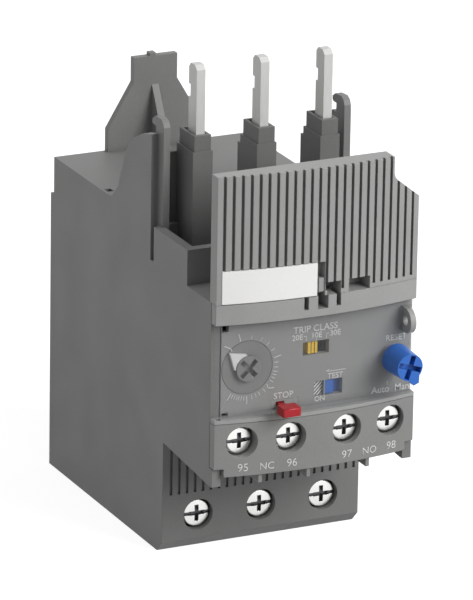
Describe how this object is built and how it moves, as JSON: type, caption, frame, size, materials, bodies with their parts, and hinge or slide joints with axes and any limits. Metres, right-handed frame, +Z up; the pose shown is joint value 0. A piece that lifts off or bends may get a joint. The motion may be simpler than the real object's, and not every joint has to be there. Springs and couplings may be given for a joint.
{
  "type": "electronic overload relay",
  "caption": "Three-pole electronic overload relay that plugs under a contactor, with setting dial, class and test sliders, stop and reset buttons, and a hinged clear cover.",
  "frame": {"origin": "on the underside, in the middle of the width and half way between the foot's front face and the back of the rear cover", "axes": "+X to the right of someone facing the setting panel, +Y to the back, +Z up along the blades"},
  "size_m": [0.045, 0.0879, 0.1037],
  "materials": {
    "housing_plastic": "fine matt moulded grey",
    "marker_white": "plain white",
    "smoked_clear": "smoked clear plastic",
    "dial_plastic": "grey moulded",
    "yellow_plastic": "plain yellow",
    "blue_plastic": "plain blue",
    "red_plastic": "plain red",
    "dark_plastic": "black moulded",
    "board_laminate": "green laminate",
    "tinned_copper": "tin plated",
    "contact_brass": "plain",
    "screw_steel": "zinc plated",
    "clamp_steel": "zinc plated",
    "spring_steel": "drawn wire",
    "soft_iron": "plain",
    "magnet_dark": "sintered",
    "copper_winding": "enamelled wire"
  },
  "bodies": {
    "relay": {"main_housing": "housing_plastic", "rear_cover": "housing_plastic", "terminal_block": "housing_plastic", "upper_cover": "housing_plastic", "control_panel": "housing_plastic", "marker_plate": "marker_white", "main_board": "board_laminate", "rear_board": "board_laminate", "setting_potentiometer": "dark_plastic", "class_switch": "dark_plastic", "test_switch": "dark_plastic", "trip_coil": "copper_winding", "trip_yoke": "soft_iron", "holding_magnet": "magnet_dark", "storage_capacitor": "dark_plastic", "stop_spring": "spring_steel", "reset_spring": "spring_steel", "phase_sleeve_1": "housing_plastic", "busbar_1": "tinned_copper", "transformer_core_1": "soft_iron", "transformer_winding_1": "copper_winding", "phase_sleeve_2": "housing_plastic", "busbar_2": "tinned_copper", "transformer_core_2": "soft_iron", "transformer_winding_2": "copper_winding", "phase_sleeve_3": "housing_plastic", "busbar_3": "tinned_copper", "transformer_core_3": "soft_iron", "transformer_winding_3": "copper_winding", "aux_contact_95": "contact_brass", "aux_contact_96": "contact_brass", "aux_contact_97": "contact_brass", "aux_contact_98": "contact_brass"},
    "cover": {"clear_cover": "smoked_clear"},
    "dial": {"setting_dial": "dial_plastic", "dial_pointer": "marker_white"},
    "class_selector": {"class_slider": "yellow_plastic"},
    "test_actuator": {"test_slider": "blue_plastic"},
    "trip_mechanism": {"trip_slide": "dark_plastic", "trip_flag": "marker_white", "break_bridge": "contact_brass", "make_bridge": "contact_brass", "trip_plunger": "soft_iron"},
    "stop_actuator": {"stop_button": "red_plastic"},
    "reset_stem": {"reset_plunger": "blue_plastic"},
    "reset_cap": {"reset_knob": "blue_plastic"},
    "terminal_screw_1": {"main_screw_1": "screw_steel"},
    "terminal_cage_1": {"main_clamp_1": "clamp_steel"},
    "terminal_screw_2": {"main_screw_2": "screw_steel"},
    "terminal_cage_2": {"main_clamp_2": "clamp_steel"},
    "terminal_screw_3": {"main_screw_3": "screw_steel"},
    "terminal_cage_3": {"main_clamp_3": "clamp_steel"},
    "aux_washer_95": {"aux_clamp_95": "clamp_steel"},
    "aux_driver_95": {"aux_screw_95": "screw_steel"},
    "aux_washer_96": {"aux_clamp_96": "clamp_steel"},
    "aux_driver_96": {"aux_screw_96": "screw_steel"},
    "aux_washer_97": {"aux_clamp_97": "clamp_steel"},
    "aux_driver_97": {"aux_screw_97": "screw_steel"},
    "aux_washer_98": {"aux_clamp_98": "clamp_steel"},
    "aux_driver_98": {"aux_screw_98": "screw_steel"}
  },
  "joints": [
    {"name": "cover_hinge", "type": "hinge", "parent": "relay", "child": "cover", "pos_m": [-0.0213, -0.05215, 0.0474], "axis": [0, 0, -1], "range_deg": [0, 100]},
    {"name": "dial_turn", "type": "hinge", "parent": "relay", "child": "dial", "pos_m": [-0.0145, -0.05095, 0.0471], "axis": [0, 1, 0], "range_deg": [0, 255]},
    {"name": "class_slide", "type": "slide", "parent": "relay", "child": "class_selector", "axis": [1, 0, 0], "range_m": [-0.0006, 0.0022]},
    {"name": "test_slide", "type": "slide", "parent": "relay", "child": "test_actuator", "axis": [1, 0, 0], "range_m": [0, 0.0018], "stiffness_N_per_m": 150, "springref_m": -0.002},
    {"name": "trip_slide_travel", "type": "slide", "parent": "relay", "child": "trip_mechanism", "axis": [-1, 0, 0], "range_m": [0, 0.0019]},
    {"name": "stop_push", "type": "slide", "parent": "relay", "child": "stop_actuator", "axis": [0, 1, 0], "range_m": [0, 0.002], "stiffness_N_per_m": 200, "springref_m": -0.002, "deforming": ["stop_spring"]},
    {"name": "reset_push", "type": "slide", "parent": "relay", "child": "reset_stem", "axis": [0, 1, 0], "range_m": [0, 0.0015], "stiffness_N_per_m": 250, "springref_m": -0.002, "deforming": ["reset_spring"]},
    {"name": "reset_turn", "type": "hinge", "parent": "reset_stem", "child": "reset_cap", "pos_m": [0.01827, -0.05575, 0.04507], "axis": [0, 1, 0], "range_deg": [0, 55]},
    {"name": "main_clamp_1_travel", "type": "slide", "parent": "relay", "child": "terminal_cage_1", "axis": [0, -1, 0], "range_m": [0, 0.004]},
    {"name": "main_screw_1_turn", "type": "hinge", "parent": "relay", "child": "terminal_screw_1", "pos_m": [-0.0143, -0.02675, 0.00755], "axis": [0, 1, 0], "range_deg": [0, 2058]},
    {"name": "main_clamp_2_travel", "type": "slide", "parent": "relay", "child": "terminal_cage_2", "axis": [0, -1, 0], "range_m": [0, 0.004]},
    {"name": "main_screw_2_turn", "type": "hinge", "parent": "relay", "child": "terminal_screw_2", "pos_m": [0, -0.02675, 0.00755], "axis": [0, 1, 0], "range_deg": [0, 2058]},
    {"name": "main_clamp_3_travel", "type": "slide", "parent": "relay", "child": "terminal_cage_3", "axis": [0, -1, 0], "range_m": [0, 0.004]},
    {"name": "main_screw_3_turn", "type": "hinge", "parent": "relay", "child": "terminal_screw_3", "pos_m": [0.0143, -0.02675, 0.00755], "axis": [0, 1, 0], "range_deg": [0, 2058]},
    {"name": "aux_clamp_95_travel", "type": "slide", "parent": "relay", "child": "aux_washer_95", "axis": [0, -1, 0], "range_m": [0, 0.0012]},
    {"name": "aux_screw_95_turn", "type": "hinge", "parent": "aux_washer_95", "child": "aux_driver_95", "pos_m": [-0.0167, -0.05086, 0.0323], "axis": [0, -1, 0], "range_deg": [0, 721]},
    {"name": "aux_clamp_96_travel", "type": "slide", "parent": "relay", "child": "aux_washer_96", "axis": [0, -1, 0], "range_m": [0, 0.0012]},
    {"name": "aux_screw_96_turn", "type": "hinge", "parent": "aux_washer_96", "child": "aux_driver_96", "pos_m": [-0.0063, -0.05201, 0.0323], "axis": [0, -1, 0], "range_deg": [0, 721]},
    {"name": "aux_clamp_97_travel", "type": "slide", "parent": "relay", "child": "aux_washer_97", "axis": [0, -1, 0], "range_m": [0, 0.0012]},
    {"name": "aux_screw_97_turn", "type": "hinge", "parent": "aux_washer_97", "child": "aux_driver_97", "pos_m": [0.0063, -0.05201, 0.0323], "axis": [0, -1, 0], "range_deg": [0, 721]},
    {"name": "aux_clamp_98_travel", "type": "slide", "parent": "relay", "child": "aux_washer_98", "axis": [0, -1, 0], "range_m": [0, 0.0012]},
    {"name": "aux_screw_98_turn", "type": "hinge", "parent": "aux_washer_98", "child": "aux_driver_98", "pos_m": [0.0167, -0.05086, 0.0323], "axis": [0, -1, 0], "range_deg": [0, 721]}
  ],
  "couplings": [
    {"joint": "main_screw_1_turn", "follows": "main_clamp_1_travel", "rad_per_m": 8976},
    {"joint": "main_screw_2_turn", "follows": "main_clamp_2_travel", "rad_per_m": 8976},
    {"joint": "main_screw_3_turn", "follows": "main_clamp_3_travel", "rad_per_m": 8976},
    {"joint": "aux_screw_95_turn", "follows": "aux_clamp_95_travel", "rad_per_m": 10472},
    {"joint": "aux_screw_96_turn", "follows": "aux_clamp_96_travel", "rad_per_m": 10472},
    {"joint": "aux_screw_97_turn", "follows": "aux_clamp_97_travel", "rad_per_m": 10472},
    {"joint": "aux_screw_98_turn", "follows": "aux_clamp_98_travel", "rad_per_m": 10472}
  ]
}
